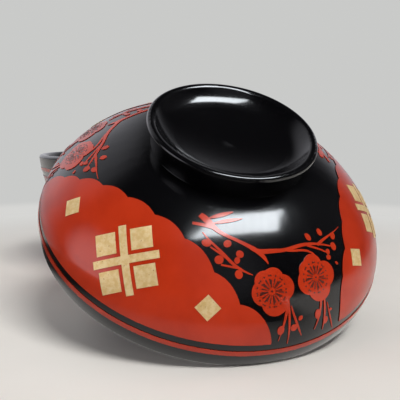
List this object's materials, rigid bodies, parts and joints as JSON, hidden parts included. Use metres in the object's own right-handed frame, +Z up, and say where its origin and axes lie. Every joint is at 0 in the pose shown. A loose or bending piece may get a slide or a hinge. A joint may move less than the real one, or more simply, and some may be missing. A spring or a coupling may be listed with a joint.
{
  "type": "lidded bowl",
  "caption": "Japanese lacquer bowl with its lid off and leant on its rim, black with red cloud panels, gold leaf lozenges and red plum sprays.",
  "frame": {"origin": "middle of the bounding box of the bowl and the leaning lid, on the table", "axes": "+Z up, -Y towards the viewer and the lid, +Y towards the back of the bowl, +X to the viewer's right"},
  "size_m": [0.1438, 0.2158, 0.0864],
  "materials": {
    "black_lacquer": "turned wood under polished black lacquer",
    "vermilion_lacquer": "polished vermilion lacquer",
    "gold_leaf": "gold leaf, satin"
  },
  "bodies": {
    "bowl": {"bowl_body": "black_lacquer", "bowl_rim_line": "vermilion_lacquer", "bowl_cloud_panels": "vermilion_lacquer", "bowl_gold_leaf": "gold_leaf", "bowl_plum_sprays": "vermilion_lacquer"},
    "lid": {"lid_body": "black_lacquer", "lid_rim_line": "vermilion_lacquer", "lid_cloud_panels": "vermilion_lacquer", "lid_gold_leaf": "gold_leaf", "lid_plum_sprays": "vermilion_lacquer"}
  },
  "joints": [
    {"name": "lid_lift", "type": "slide", "parent": "bowl", "child": "lid", "axis": [0, 0, 1], "range_m": [0, 0.12]}
  ]
}
